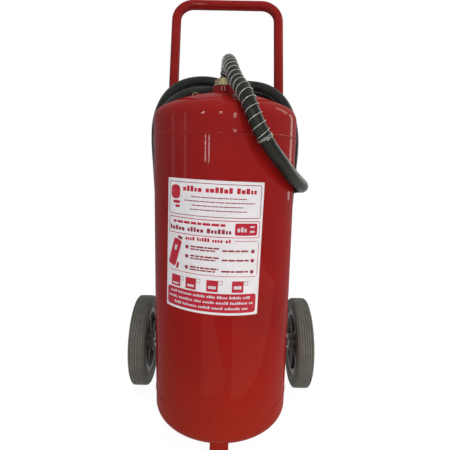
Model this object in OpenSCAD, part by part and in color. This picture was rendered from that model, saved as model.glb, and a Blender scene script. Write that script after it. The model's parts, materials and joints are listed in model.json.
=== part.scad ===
// Wheeled dry-powder fire extinguisher with a gas bottle behind the tank.
// Millimetres, +Z up, front towards -Y. The origin is on the floor, under the
// middle of the machine without its hose.

/* [Tank] */
// Outside diameter of the tank
tank_d = 320; // [300:1:340]
// Thickness of the tank's steel
tank_wall = 4; // [3:0.5:6]
// Length of the rolled shell between its two weld seams
shell_len = 600; // [560:1:640]
// Straight flange of each pressed head, from seam to knuckle
head_flange = 35; // [33:1:45]
// Radius of the knuckle of each pressed head
knuckle_r = 32; // [28:1:33]
// Gap between the floor and the tank's lowest point
ground_gap = 18; // [14:1:30]
// Radius of the weld beads
bead_r = 4; // [3:0.5:5]
// How far the weld beads stand proud of the shell
bead_proud = 1.6; // [1:0.1:2]

/* [Filler neck] */
// Outside diameter of the filler neck
neck_d = 60; // [54:1:66]
// Height of the neck above the top of the dome
neck_h = 14; // [10:1:20]
// Bore of the filler neck
neck_bore = 40; // [34:1:46]
// Diameter of the cap's round flange
cap_flange_d = 54; // [50:1:58]
// Thickness of the cap's round flange
cap_flange_h = 4; // [3:0.5:6]
// Size across the flats of the cap's hexagon
cap_hex_af = 42; // [36:1:46]
// Height of the cap's hexagon
cap_hex_h = 10; // [8:1:14]
// Thickness of the cap's gasket
gasket_t = 2; // [1:0.5:3]

/* [Outlet] */
// Distance of the outlet boss from the tank's rear
outlet_inset = 49; // [46:0.5:52]
// Height of the elbow's turn above the top of the dome
elbow_rise = 3; // [0:0.5:6]
// Angle by which the elbow's arm leans from upright
elbow_tilt = 52; // [51:0.5:53]
// Outside radius of the outlet boss
boss_r = 20; // [18:1:22]
// Height of the outlet boss above the head at its axis
boss_h = 6; // [5:0.5:8]
// Radius of the elbow's arms
elbow_r = 14; // [12:0.5:16]
// Length of the elbow's slanting arm
elbow_arm = 12; // [12:0.5:14]
// Length of the hose nut
hose_nut_h = 14; // [12:0.5:16]
// Length of the crimped hose ferrule
ferrule_h = 19; // [16:0.5:22]
// Outside radius of the hose ferrule
ferrule_r = 17; // [16:0.5:19]
// Outside radius of the dip tube
dip_tube_r = 12; // [10:0.5:13]
// Wall of the dip tube and of the gas tube
inner_tube_wall = 2; // [1.5:0.5:2.5]
// Gap between the dip tube's lower end and the bottom head
dip_gap = 12; // [8:1:20]

/* [Hose] */
// Outside diameter of the hose
hose_d = 28; // [26:0.5:28]
// Thickness of the wire guard round the hose
guard_t = 2; // [1.5:0.1:2.2]
// Distance by which the last stretch of hose is set in from the turns
turn_pitch = 29; // [28.5:0.5:31]
// Radius about the tank's axis of the outer layer of the stowed hose
turn_r = 206.8; // [206:0.1:207.5]

/* [Gas bottle] */
// Outside radius of the gas bottle
bottle_r = 51; // [48:0.5:54]
// Height of the gas bottle without its valve
bottle_h = 270; // [255:1:272]
// Radius of the bottle's foot
bottle_foot_r = 14; // [10:1:18]
// Height of the gas inlet on the tank's rear
gas_inlet_z = 635; // [628:1:645]
// Outside radius of the inlet boss
inlet_boss_r = 14; // [12:0.5:16]
// How far the inlet boss stands out behind the shell
inlet_boss_len = 14; // [10:1:18]
// Outside radius of the gas pipe
gas_pipe_r = 5; // [4:0.5:6]
// Outside radius of the gas tube inside the tank
gas_tube_r = 7; // [6:0.5:8]
// Radius of the handwheel's rim
handwheel_r = 26; // [22:1:30]
// Radius of the handwheel's rim section
handwheel_rim = 4; // [3:0.5:5]
// Radius of the valve spindle
spindle_r = 4; // [3:0.5:5]
// Thickness of the bottle's clamping bands
band_t = 2.5; // [2:0.5:3]
// Height of the clamping bands
band_h = 25; // [20:1:30]

/* [Frame] */
// Distance of the axle and of the handle's legs behind the tank's axis
leg_y = 195; // [194:0.5:198]
// Half the distance between the handle's two legs
leg_x = 143; // [141:0.5:146]
// Outside diameter of the handle's tube
tube_d = 26; // [22:0.5:27]
// Wall of the handle's tube
tube_wall = 2; // [1.5:0.25:3]
// Height at which the handle bends backwards
lean_z = 860; // [855:1:900]
// Angle by which the handle leans backwards
lean_angle = 18; // [14:1:22]
// Radius of the handle's backward bend
lean_bend_r = 110; // [80:1:140]
// Radius of the handle's two top corners
corner_r = 48; // [40:1:60]
// Height of the centre of the handle's top bar
grip_z = 1100; // [1060:1:1140]
// Height of the frame's flat crossbars
crossbar_h = 40; // [30:1:44]
// Thickness of the frame's flat bars
bar_t = 5; // [4:0.5:6]
// Height of the middle of the upper crossbar
upper_bar_z = 540; // [530:1:548]
// Height of the middle of the lower crossbar
lower_bar_z = 370; // [360:1:385]
// Half the distance between the standoffs that join crossbar and tank
standoff_x = 60; // [50:1:70]

/* [Running gear] */
// Outside diameter of the tyres
wheel_d = 260; // [250:1:270]
// Width of the tyres
tyre_w = 47; // [42:1:50]
// Distance of each tyre's middle from the machine's middle
wheel_x = 230.5; // [229:0.5:234]
// Diameter of the rim under the tyre
rim_d = 176; // [168:1:184]
// Radius of the tyre's shoulder
shoulder_r = 9; // [6:0.5:12]
// Number of grooves round each tyre
groove_count = 5; // [2:1:6]
// Width of the grooves
groove_w = 1.6; // [1:0.1:2.4]
// Depth of the grooves
groove_depth = 2; // [1:0.1:3]
// Number of spokes in each rim
spoke_count = 5; // [4:1:6]
// Thickness of the spokes' webs
spoke_t = 12; // [8:1:16]
// Radius of the axle
axle_r = 10; // [9:0.5:12]
// Length of each wheel's hub
hub_len = 60; // [54:1:62]
// Outside radius of the hub
hub_r = 24; // [21:0.5:28]
// Wall of the hub's plain bearing bush
bush_wall = 4; // [3:0.5:5]
// Running clearance on a radius
running_gap = 0.05; // [0.02:0.01:0.09]
// Thickness of the axle's washers
washer_t = 2; // [1.5:0.5:3]
// Width of the front foot
foot_w = 42; // [36:1:46]
// Length of the front foot's sole
foot_len = 60; // [50:1:70]
// Distance of the middle of the front foot ahead of the tank's axis
foot_y = 100; // [90:1:104]

/* [Discharge gun] */
// Sideways place of the stowed gun
gun_x = 98; // [95:0.5:100]
// Distance of the stowed gun behind the tank's axis
gun_y = 246; // [244:0.5:248]
// Height at which the hose enters the stowed gun
gun_z = 500; // [496:1:504]
// Radius of the gun's valve body
gun_body_r = 16; // [15:0.5:18]
// Length of the gun's valve body
gun_body_len = 88; // [80:1:96]
// Radius of the gun's barrel
barrel_r = 11; // [9:0.5:12]
// Length of the gun's barrel
barrel_len = 80; // [70:1:90]
// Length of the gun's horn
horn_len = 95; // [80:1:110]
// Radius of the horn's mouth
horn_r = 19; // [16:0.5:21]
// Radius of the trigger's pin
trigger_pin_r = 3; // [2.5:0.25:4]
// Width of the trigger
trigger_w = 12; // [10:0.5:14]

/* [Hidden] */
$fn = 96;
eps = 0.01;
big = 2000;

// Tank
tank_r = tank_d / 2;
crown_r = tank_d;
lower_head_z = ground_gap + head_depth(tank_r, crown_r, knuckle_r);
lower_seam_z = lower_head_z + head_flange;
upper_seam_z = lower_seam_z + shell_len;
dome_top_z = upper_seam_z + head_flange + head_depth(tank_r, crown_r, knuckle_r);
neck_top_z = dome_top_z + neck_h;
// The machine's length runs from the tank's front to the wheels' rear
wheel_r = wheel_d / 2;
rim_lip_w = 5;
rim_lip_h = 7;
spoke_root_w = 22;
spoke_tip_w = 38;
spoke_rib_w = 6;
tank_y = -(leg_y + wheel_r - tank_r - bead_proud) / 2;

// Outlet
outlet_y = tank_r - outlet_inset;
boss_top_z = dome_z(outlet_y) + boss_h;
elbow_z = round(dome_top_z) + elbow_rise;
dip_bottom_z = ground_gap + tank_wall + dip_gap + dome_top_z - dome_z(outlet_y);

// Relief valve on the rear of the dome
relief_x = -76;
relief_y = 98;
relief_r = 9;
relief_h = 20;
stem_r = 2.5;
stem_head = 6;
spring_seat_z = 8.6;
spring_top_z = relief_h - 3;
spring_r = 4.6;
spring_wire = 1;

// Gas bottle, which stands behind the frame's crossbars
bar_front_y = leg_y - bar_t / 2;
bar_back_y = leg_y + bar_t / 2;
backplate_t = bar_t;
bottle_y = bar_back_y + backplate_t + band_t + bottle_r;
valve_neck_r = 14;
valve_body_h = 62;
valve_port_h = 36;
bottle_top_z = gas_inlet_z - valve_port_h;
bottle_base_z = bottle_top_z - bottle_h;
valve_top_z = bottle_top_z + valve_body_h;
inlet_end_y = tank_r + inlet_boss_len;
gas_tube_inset = 20;
gas_tube_end = 70;
valve_port_y = bottle_y - 26;
backplate_w = 40;
backplate_lap = 12;

// Frame
tube_r = tube_d / 2;
lean_len = (grip_z - lean_z) / cos(lean_angle);
lean_bend_z = lean_z - lean_bend_r * tan(lean_angle / 2);
standoff_y0 = sqrt(tank_r * tank_r - standoff_x * standoff_x);

// Running gear
hub_in_x = wheel_x - hub_len / 2;
hub_out_x = wheel_x + hub_len / 2;
bush_r = axle_r + bush_wall;
pin_r = 1.6;
pin_x = hub_out_x + washer_t + pin_r + 0.4;
axle_half = pin_x + 6;
washer_r = 17;
side_gap = 0.3;
rim_r = rim_d / 2;
rim_wall = 8;
rim_w = tyre_w - 9;
bracket_x = leg_x - tube_r - bar_t;
axle_z = wheel_r;
groove_step = (tyre_w - 1.5 * shoulder_r) / groove_count;

// Gun
coupling_h = 22;
gun_body_top = gun_z - coupling_h;
gun_body_base = gun_body_top - gun_body_len;
barrel_base = gun_body_base - barrel_len;
horn_base = barrel_base - horn_len;
trigger_y = gun_body_r + 9;
trigger_z = gun_body_base + 10;
trigger_len = 84;
trigger_splay = 14;
lug_t = 4;
clip_z = gun_body_base - 40;
clip_h = 18;
clip_t = 3;

// Hose: points along its middle, counted from the tank's axis
hose_r = hose_d / 2;
guard_points = 13;
over_and_down = [
    [0, 75.5, 842.7],
    [0, 57, 857],
    [3, 32, 870],
    [5, 0, 877],
    [6, -36, 873],
    [9, -72, 857],
    [15, -104, 834],
    [24, -131, 811],
    [34, -153, 794],
    [42.5, -168.5, 774],
    [51.5, -177, 751],
    [62, -179, 728],
    [76.5, -176, 703],
    [93, -166.5, 681.5],
    [110.5, -152, 662.5],
    [128, -132, 644.5],
    [146, -105, 629],
    [167, -65, 615],
    [178, -15, 609],
    [177, 24, 606],
    [168, 62, 601],
    [146, 102, 591],
    [119, 132, 564],
    [98, 149, 524],
    [90, 153.5, 476],
    [89, 153, 432],
    [89, 153, 390],
    [81.5, 157, 344],
    [57.5, 167.5, 305],
    [19.5, 176, 279]
];
to_gun = [
    [156.5, 136, 678],
    [149.5, 144.5, 652],
    [137, 159, 630],
    [120.5, 177.5, 611.5],
    [109.5, 200, 594],
    [102.5, 220.5, 573.5],
    [99, 235.5, 548.5],
    [98, 243.5, 523.5],
    [98, 246, 500]
];
// One turn of the stowed hose, from the middle of its foot and up the left:
// side of the corner, height on the straight (0 to 1), angle on the corner
lap = [
    [0, 0, 270],
    [-1, 0, 270], [-1, 0, 247.5], [-1, 0, 225], [-1, 0, 202.5], [-1, 0, 180],
    [-1, 0.33, 180], [-1, 0.67, 180],
    [-1, 1, 180], [-1, 1, 157.5], [-1, 1, 135], [-1, 1, 112.5], [-1, 1, 90],
    [0, 1, 90],
    [1, 1, 90], [1, 1, 67.5], [1, 1, 45], [1, 1, 22.5], [1, 1, 0],
    [1, 0.67, 0], [1, 0.33, 0],
    [1, 0, 0], [1, 0, -22.5], [1, 0, -45], [1, 0, -67.5], [1, 0, -90]
];
lap_points = len(lap);
turn_count = 1.7;
turn_head_w = 209;
turn_foot_w = 190;
turn_corner_r = 155;
turn_foot_z = 270;
first_top_z = 845;
second_top_z = 878;
top_fall = 16;
top_rise = 17;
inner_turn_r = 177;
shift_start = 14;
shift_points = 4;
stowed = [
    for (i = [1 : floor(turn_count * lap_points)]) turn_point(i)
];
hose_route = concat(over_and_down, stowed, to_gun);

// --- functions ---

// Height of a torispherical head above the edge of its knuckle
function head_depth(rad, crown, knuckle) =
    crown - sqrt(pow(crown - knuckle, 2) - pow(rad - knuckle, 2));

// Height of the dome's outside at a distance from the axis, on its crown
function dome_z(dist) = dome_top_z - crown_r + sqrt(crown_r * crown_r - dist * dist);

// Point number i of the stowed turns: up the left and over against the tank,
// then round again in the outer layer, lying on the first turn
function turn_point(i) =
    let (
        station = lap[i % lap_points],
        again = i > lap_points,
        across = (station[0] + 1) / 2,
        top = again ? second_top_z - top_fall * across : first_top_z + top_rise * across,
        half_w = turn_foot_w + (turn_head_w - turn_foot_w) * station[1],
        flat = half_w - turn_corner_r - (i > 1.5 * lap_points ? turn_pitch : 0),
        low = turn_foot_z + turn_corner_r,
        high = top - turn_corner_r,
        along = station[0] * flat + turn_corner_r * cos(station[2]),
        up = low + (high - low) * station[1] + turn_corner_r * sin(station[2]),
        shift = min(1, max(0, (i - shift_start) / shift_points)),
        rad = inner_turn_r + (turn_r - inner_turn_r) * shift,
        angle = along / rad * 180 / PI
    )
    [rad * sin(angle), rad * cos(angle), up];

function unit(v) = v / norm(v);

// Direction of a route at one of its points
function heading(route, i) =
    unit(route[min(i + 1, len(route) - 1)] - route[max(i - 1, 0)]);

// Rings whose first points follow on without a twist
function start_side(dir) = unit(cross(dir, [1, 0, 0]));
function carry(side, dir) = unit(side - (side * dir) * dir);
function sides_along(route, i, side) =
    i >= len(route) ? [] :
    let (here = carry(side, heading(route, i)))
    concat([here], sides_along(route, i + 1, here));

function ring_at(centre, dir, side, rad, sides) =
    [for (k = [0 : sides - 1])
        centre + rad * (cos(360 * k / sides) * side + sin(360 * k / sides) * cross(dir, side))];

// --- helpers ---

// Everything that stands on the tank's axis
module at_tank() {
    translate([0, tank_y, 0]) children();
}

module both_sides() {
    children();
    mirror([1, 0, 0]) children();
}

// Half outline of a pressed head with its flange downwards from zero
module head_outline(inset) {
    rad = tank_r - inset;
    crown = crown_r - inset;
    knuckle = knuckle_r - inset;
    depth = head_depth(rad, crown, knuckle);
    knuckle_x = rad - knuckle;
    touch_x = crown * knuckle_x / (crown - knuckle);
    touch_z = depth - crown + sqrt(crown * crown - touch_x * touch_x);
    translate([0, -head_flange]) square([rad, head_flange]);
    polygon([[0, 0], [knuckle_x, 0], [touch_x, touch_z], [0, touch_z]]);
    intersection() {
        translate([0, depth - crown]) circle(r = crown, $fn = 180);
        translate([0, -eps]) square([touch_x, depth + 1]);
    }
    intersection() {
        translate([knuckle_x, 0]) circle(r = knuckle, $fn = 72);
        polygon([[knuckle_x, 0], [touch_x, touch_z], [touch_x, depth], [rad + 1, depth], [rad + 1, 0]]);
    }
}

module head_wall() {
    rotate_extrude($fn = 120)
        difference() {
            head_outline(0);
            translate([0, -eps]) head_outline(tank_wall);
        }
}

// The tank's whole outside, used to seat what is welded to it
module tank_form() {
    translate([0, 0, lower_head_z]) mirror([0, 0, 1]) rotate_extrude($fn = 120) head_outline(0);
    translate([0, 0, lower_seam_z - 1]) cylinder(r = tank_r, h = shell_len + 2, $fn = 120);
    translate([0, 0, upper_seam_z + head_flange]) rotate_extrude($fn = 120) head_outline(0);
}

module hexagon(across, h) {
    cylinder(r = across / 2 / cos(30), h = h, $fn = 6);
}

// A tube swept along a route
module swept(route, rad, sides = 10) {
    count = len(route);
    side_list = sides_along(route, 0, start_side(heading(route, 0)));
    points = [for (i = [0 : count - 1])
        each ring_at(route[i], heading(route, i), side_list[i], rad, sides)];
    walls = [for (i = [0 : count - 2], k = [0 : sides - 1])
        [(i + 1) * sides + k, (i + 1) * sides + (k + 1) % sides, i * sides + (k + 1) % sides, i * sides + k]];
    first = [[for (k = [0 : sides - 1]) k]];
    last = [[for (k = [sides - 1 : -1 : 0]) (count - 1) * sides + k]];
    polyhedron(points = points, faces = concat(walls, first, last), convexity = 8);
}

// A sleeve between two radii along a route
module sleeve(route, inner, outer, sides = 10) {
    count = len(route);
    side_list = sides_along(route, 0, start_side(heading(route, 0)));
    ring_points = [for (rad = [outer, inner])
        [for (i = [0 : count - 1]) each ring_at(route[i], heading(route, i), side_list[i], rad, sides)]];
    shift = count * sides;
    last = (count - 1) * sides;
    out_walls = [for (i = [0 : count - 2], k = [0 : sides - 1])
        [(i + 1) * sides + k, (i + 1) * sides + (k + 1) % sides, i * sides + (k + 1) % sides, i * sides + k]];
    in_walls = [for (face = out_walls) [face[3] + shift, face[2] + shift, face[1] + shift, face[0] + shift]];
    first_end = [for (k = [0 : sides - 1]) [k, (k + 1) % sides, shift + (k + 1) % sides, shift + k]];
    last_end = [for (k = [0 : sides - 1])
        [shift + last + k, shift + last + (k + 1) % sides, last + (k + 1) % sides, last + k]];
    polyhedron(points = concat(ring_points[0], ring_points[1]),
        faces = concat(out_walls, in_walls, first_end, last_end), convexity = 8);
}

// --- tank ---

module tank_shell() {
    color("firebrick") at_tank() difference() {
        rotate_extrude($fn = 120) {
            translate([tank_r - tank_wall, lower_seam_z]) square([tank_wall, shell_len]);
            for (seam = [lower_seam_z, upper_seam_z])
                difference() {
                    translate([tank_r - bead_r + bead_proud, seam]) circle(r = bead_r, $fn = 32);
                    square([tank_r - 0.5 * bead_proud, big]);
                    translate([0, upper_seam_z]) square([tank_r, big]);
                    square([tank_r, lower_seam_z]);
                }
        }
        translate([0, tank_r - 20, gas_inlet_z]) rotate([-90, 0, 0]) cylinder(r = gas_pipe_r - 1.5, h = 40);
    }
}

module top_head() {
    color("firebrick") at_tank() difference() {
        translate([0, 0, upper_seam_z + head_flange]) head_wall();
        translate([0, 0, upper_seam_z]) cylinder(d = neck_bore, h = big);
        translate([0, outlet_y, upper_seam_z]) cylinder(r = dip_tube_r, h = big);
        relief_place() translate([0, 0, -40]) cylinder(r = relief_r / 2, h = 80, $fn = 48);
    }
}

module bottom_head() {
    color("firebrick") at_tank() translate([0, 0, lower_head_z]) mirror([0, 0, 1]) head_wall();
}

module filler_neck() {
    color("firebrick") at_tank() difference() {
        translate([0, 0, dome_z(neck_d / 2) - 1])
            cylinder(d = neck_d, h = neck_top_z - dome_z(neck_d / 2) + 1);
        translate([0, 0, upper_seam_z]) cylinder(d = neck_bore, h = big);
        tank_form();
    }
}

module cap_gasket() {
    color("black") at_tank() translate([0, 0, neck_top_z]) difference() {
        cylinder(d = cap_flange_d - 4, h = gasket_t);
        translate([0, 0, -1]) cylinder(d = neck_bore, h = gasket_t + 2);
    }
}

module filler_cap() {
    plug_r = neck_bore / 2 - running_gap;
    color("darkkhaki") at_tank() translate([0, 0, neck_top_z + gasket_t]) difference() {
        union() {
            cylinder(d = cap_flange_d, h = cap_flange_h);
            translate([0, 0, cap_flange_h]) hexagon(cap_hex_af, cap_hex_h);
            translate([0, 0, -neck_h - gasket_t]) cylinder(r = plug_r, h = neck_h + gasket_t + 1);
        }
        translate([0, 0, cap_flange_h + cap_hex_h - 3]) cylinder(d = cap_hex_af - 14, h = 4);
        translate([0, 0, -neck_h - gasket_t - 1]) cylinder(r = plug_r - 5, h = neck_h);
    }
}

// --- outlet ---

module outlet_boss() {
    color("firebrick") at_tank() difference() {
        translate([0, outlet_y, dome_z(outlet_y + boss_r) - 1])
            cylinder(r = boss_r, h = boss_top_z - dome_z(outlet_y + boss_r) + 1);
        translate([0, outlet_y, upper_seam_z]) cylinder(r = dip_tube_r, h = big);
        tank_form();
    }
}

module dip_tube() {
    color("silver") at_tank() translate([0, outlet_y, dip_bottom_z]) difference() {
        cylinder(r = dip_tube_r, h = boss_top_z - dip_bottom_z);
        translate([0, 0, -1]) cylinder(r = dip_tube_r - inner_tube_wall, h = big);
    }
}

// The slanting arm's own frame, at the point where the elbow turns
module at_elbow() {
    at_tank() translate([0, outlet_y, elbow_z]) rotate([elbow_tilt, 0, 0]) children();
}

module outlet_elbow() {
    bore_r = dip_tube_r - inner_tube_wall;
    color("goldenrod") difference() {
        union() {
            at_tank() translate([0, outlet_y, boss_top_z]) {
                cylinder(r = boss_r - 1, h = 5);
                cylinder(r = elbow_r, h = elbow_z - boss_top_z + 3);
            }
            at_elbow() sphere(r = elbow_r + 1.2);
            at_elbow() cylinder(r = elbow_r, h = elbow_arm);
        }
        at_tank() translate([0, outlet_y, boss_top_z - 1])
            cylinder(r = bore_r, h = elbow_z - boss_top_z + 4);
        at_elbow() cylinder(r = bore_r, h = elbow_arm + 4);
    }
}

module hose_nut() {
    color("goldenrod") at_elbow() translate([0, 0, elbow_arm]) difference() {
        hexagon(2 * elbow_r + 6, hose_nut_h);
        translate([0, 0, -1]) cylinder(r = dip_tube_r - inner_tube_wall, h = hose_nut_h + 2);
    }
}

module hose_ferrule() {
    color("silver") at_elbow() translate([0, 0, elbow_arm + hose_nut_h]) difference() {
        rotate_extrude() {
            square([ferrule_r, ferrule_h]);
            for (z = [4, ferrule_h / 2, ferrule_h - 4]) translate([ferrule_r - 0.4, z]) circle(r = 1.2, $fn = 24);
        }
        translate([0, 0, -1]) cylinder(r = dip_tube_r - inner_tube_wall, h = ferrule_h + 2);
    }
}

// --- relief valve on the rear of the dome ---

module relief_place() {
    translate([relief_x, relief_y, dome_z(norm([relief_x, relief_y]))]) children();
}

module relief_valve() {
    color("goldenrod") at_tank() difference() {
        relief_place() {
            translate([0, 0, -6]) cylinder(r = relief_r, h = relief_h + 6, $fn = 64);
            translate([0, 0, 4]) hexagon(2 * relief_r + 4, 7);
        }
        tank_form();
        relief_place() {
            translate([0, 0, -8]) cylinder(r = stem_r + running_gap, h = 60, $fn = 48);
            translate([0, 0, 6]) cylinder(r = 2 * stem_r, h = spring_top_z - 6, $fn = 48);
        }
    }
}

module relief_stem() {
    color("silver") at_tank() relief_place() {
        translate([0, 0, 1]) cylinder(r = stem_r, h = relief_h + 8, $fn = 48);
        translate([0, 0, spring_seat_z - 2]) cylinder(r = spring_r, h = 2, $fn = 48);
        translate([0, 0, relief_h + 0.3]) cylinder(r = stem_head, h = 2, $fn = 48);
        translate([0, 0, relief_h + 16])
            rotate([90, 0, 0]) rotate_extrude($fn = 48) translate([8, 0]) circle(r = 1.2, $fn = 20);
    }
}

module relief_spring() {
    color("gray") at_tank() relief_place() translate([0, 0, spring_seat_z]) difference() {
        cylinder(r = spring_r, h = spring_top_z - spring_seat_z, $fn = 48);
        translate([0, 0, -1]) cylinder(r = spring_r - spring_wire, h = relief_h, $fn = 48);
    }
}

// --- gas supply ---

// Lies along +Y from the tank's rear at the inlet's height
module along_inlet(y) {
    at_tank() translate([0, y, gas_inlet_z]) rotate([-90, 0, 0]) children();
}

module gas_inlet() {
    color("firebrick") difference() {
        along_inlet(tank_r - 12) cylinder(r = inlet_boss_r, h = inlet_boss_len + 12);
        at_tank() tank_form();
        along_inlet(0) cylinder(r = gas_pipe_r - 1.5, h = big);
    }
}

module gas_tube() {
    drop_y = tank_r - tank_wall - gas_tube_inset;
    end_z = ground_gap + gas_tube_end;
    color("silver") at_tank() intersection() {
        union() {
            translate([0, drop_y, gas_inlet_z]) rotate([-90, 0, 0]) cylinder(r = gas_tube_r, h = 2 * gas_tube_inset);
            translate([0, drop_y, gas_inlet_z]) sphere(r = gas_tube_r);
            translate([0, drop_y, end_z]) cylinder(r = gas_tube_r, h = gas_inlet_z - end_z);
        }
        cylinder(r = tank_r - tank_wall, h = big, $fn = 120);
    }
}

module gas_pipe() {
    color("peru") along_inlet(inlet_end_y) difference() {
        cylinder(r = gas_pipe_r, h = valve_port_y - inlet_end_y);
        translate([0, 0, -1]) cylinder(r = gas_pipe_r - 1.5, h = big);
    }
}

module pipe_nuts() {
    nut_h = 12;
    color("goldenrod") for (y = [inlet_end_y, valve_port_y - nut_h])
        along_inlet(y) difference() {
            hexagon(20, nut_h);
            translate([0, 0, -1]) cylinder(r = gas_pipe_r, h = nut_h + 2);
        }
}

module at_bottle() {
    translate([0, tank_y + bottle_y, 0]) children();
}

module gas_bottle() {
    shoulder = bottle_r - valve_neck_r - 2;
    color("dimgray") at_bottle() translate([0, 0, bottle_base_z]) rotate_extrude() {
        translate([0, bottle_foot_r]) square([bottle_r, bottle_h - 10 - shoulder - bottle_foot_r]);
        square([bottle_r - bottle_foot_r, bottle_foot_r + 1]);
        translate([bottle_r - bottle_foot_r, bottle_foot_r]) circle(r = bottle_foot_r, $fn = 48);
        square([valve_neck_r + 2, bottle_h]);
        translate([0, bottle_h - 10 - shoulder]) square([bottle_r - shoulder, shoulder]);
        intersection() {
            translate([bottle_r - shoulder, bottle_h - 10 - shoulder]) circle(r = shoulder);
            translate([0, bottle_h - 10 - shoulder - 1]) square([bottle_r, shoulder + 1]);
        }
    }
}

module bottle_valve() {
    color("goldenrod") difference() {
        union() {
            at_bottle() translate([0, 0, bottle_top_z]) {
                cylinder(r = valve_neck_r, h = valve_body_h - 12);
                translate([0, 0, 6]) hexagon(2 * valve_neck_r + 4, 12);
                translate([0, 0, valve_body_h - 14]) hexagon(2 * valve_neck_r - 4, 14);
            }
            along_inlet(valve_port_y) cylinder(r = 9, h = bottle_y - valve_port_y);
            at_bottle() translate([0, 0, gas_inlet_z]) rotate([-90, 0, 0]) {
                cylinder(r = 8, h = 20);
                translate([0, 0, 20]) hexagon(13, 5);
            }
        }
        at_bottle() translate([0, 0, gas_inlet_z + 6]) cylinder(r = spindle_r + running_gap, h = big);
        along_inlet(valve_port_y - 1) cylinder(r = gas_pipe_r - 1.5, h = 14);
    }
}

module valve_spindle() {
    color("silver") at_bottle() translate([0, 0, gas_inlet_z + 8])
        cylinder(r = spindle_r, h = valve_top_z + 22 - gas_inlet_z - 8);
}

module handwheel() {
    hub = spindle_r + 5;
    color("firebrick") at_bottle() translate([0, 0, valve_top_z + 6]) difference() {
        union() {
            cylinder(r = hub, h = 12);
            translate([0, 0, 6]) {
                rotate_extrude() translate([handwheel_r, 0]) circle(r = handwheel_rim, $fn = 32);
                for (angle = [0 : 90 : 270]) rotate([0, 90, angle + 45]) cylinder(r = 3, h = handwheel_r, $fn = 32);
            }
        }
        translate([0, 0, -1]) cylinder(r = spindle_r, h = 20);
    }
}

module bottle_bands() {
    color("silver") at_bottle() for (z = [lower_bar_z, upper_bar_z]) translate([0, 0, z - band_h / 2]) difference() {
        cylinder(r = bottle_r + band_t, h = band_h);
        translate([0, 0, -1]) cylinder(r = bottle_r, h = band_h + 2);
    }
}

module bottle_backplate() {
    low = lower_bar_z - crossbar_h / 2 - backplate_lap;
    high = upper_bar_z + crossbar_h / 2 + backplate_lap;
    color("firebrick") at_tank() translate([-backplate_w / 2, bar_back_y, low])
        cube([backplate_w, backplate_t, high - low]);
}

// --- frame ---

module crossbar(z) {
    inner_x = leg_x - tube_r;
    color("firebrick") at_tank() translate([0, 0, z - crossbar_h / 2]) {
        difference() {
            translate([-leg_x, bar_front_y, 0]) cube([2 * leg_x, bar_t, crossbar_h]);
            both_sides() translate([leg_x, leg_y, -1]) cylinder(r = tube_r, h = crossbar_h + 2);
        }
        difference() {
            both_sides() translate([standoff_x - bar_t / 2, 0, 0])
                cube([bar_t, bar_front_y + 1, crossbar_h]);
            translate([0, 0, -1]) cylinder(r = tank_r, h = crossbar_h + 2, $fn = 120);
        }
    }
}

module upper_crossbar() {
    crossbar(upper_bar_z);
}

module lower_crossbar() {
    crossbar(lower_bar_z);
}

// Middle of the handle's tube on one side, from its foot to the top bar
function handle_half(foot_z) = concat(
    [[leg_x, leg_y, foot_z]],
    [for (a = [0 : 3 : lean_angle])
        [leg_x, leg_y + lean_bend_r * (1 - cos(a)), lean_bend_z + lean_bend_r * sin(a)]],
    [for (b = [0 : 10 : 90])
        let (along = lean_len - corner_r + corner_r * sin(b))
        [leg_x - corner_r + corner_r * cos(b), leg_y + along * sin(lean_angle), lean_z + along * cos(lean_angle)]]
);

function handle_route(foot_z) =
    let (half = handle_half(foot_z), last = len(half) - 1)
    concat(half, [for (i = [last : -1 : 0]) [-half[i][0], half[i][1], half[i][2]]]);

module handle_frame() {
    color("firebrick") at_tank() difference() {
        swept(handle_route(axle_z), tube_r, 20);
        swept(handle_route(axle_z - 5), tube_r - tube_wall, 12);
        translate([0, leg_y, axle_z]) rotate([0, 90, 0]) cylinder(r = axle_r, h = big, center = true);
    }
}

module hose_hanger() {
    rod_r = 8;
    saddle_w = 44;
    low_end = 1 - saddle_w / 2 / (turn_head_w - turn_corner_r);
    saddle_z = first_top_z + low_end * top_rise / 2 - hose_r - 0.3;
    rod_z = saddle_z - bar_t - 22;
    saddle_y = inner_turn_r - hose_r - 6;
    lip_y = turn_r + hose_r + 1;
    color("firebrick") at_tank() {
        difference() {
            translate([0, leg_y, rod_z]) rotate([0, 90, 0]) cylinder(r = rod_r, h = 2 * leg_x, center = true);
            both_sides() translate([leg_x, leg_y, 0]) cylinder(r = tube_r, h = big);
        }
        translate([-saddle_w / 2, saddle_y, saddle_z - bar_t])
            cube([saddle_w, lip_y + bar_t - saddle_y, bar_t]);
        translate([-saddle_w / 2, lip_y, saddle_z - 1])
            cube([saddle_w, bar_t, hose_r]);
        for (x = [-saddle_w / 2, saddle_w / 2 - bar_t])
            translate([x, leg_y - rod_r + 1, rod_z]) cube([bar_t, 2 * rod_r - 2, saddle_z - rod_z - 1]);
    }
}

module axle() {
    color("silver") at_tank() translate([0, leg_y, axle_z]) difference() {
        rotate([0, 90, 0]) cylinder(r = axle_r, h = 2 * axle_half, center = true);
        both_sides() translate([pin_x, 0, -axle_r - 1]) cylinder(r = pin_r, h = 2 * axle_r + 2, $fn = 32);
    }
}

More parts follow.
